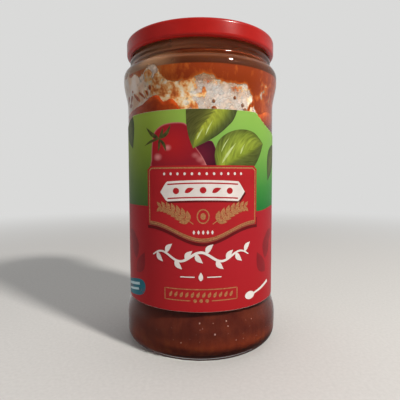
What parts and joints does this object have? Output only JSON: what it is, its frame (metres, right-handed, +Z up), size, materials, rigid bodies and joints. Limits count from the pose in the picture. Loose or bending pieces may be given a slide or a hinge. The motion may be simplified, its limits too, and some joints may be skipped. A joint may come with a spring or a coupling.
{
  "type": "tomato sauce jar",
  "caption": "Glass jar of tomato sauce with a red pressed twist-off lid and a wrapped paper label with a raised middle.",
  "frame": {"origin": "centre of the foot ring, on the surface that the jar stands on", "axes": "+Z up along the jar's axis; the front of the label faces -Y"},
  "size_m": [0.0736, 0.0736, 0.142],
  "materials": {
    "clear_glass": "clear flint glass, smooth and glossy",
    "red_lacquered_steel": "red gloss lacquer on pressed tinplate",
    "printed_paper": "coated paper, green over red, satin",
    "tomato_sauce": "wet cooked tomato sauce, brown red"
  },
  "bodies": {
    "root": {"glass_jar": "clear_glass", "lid": "red_lacquered_steel", "label": "printed_paper", "sauce": "tomato_sauce"}
  },
  "joints": []
}
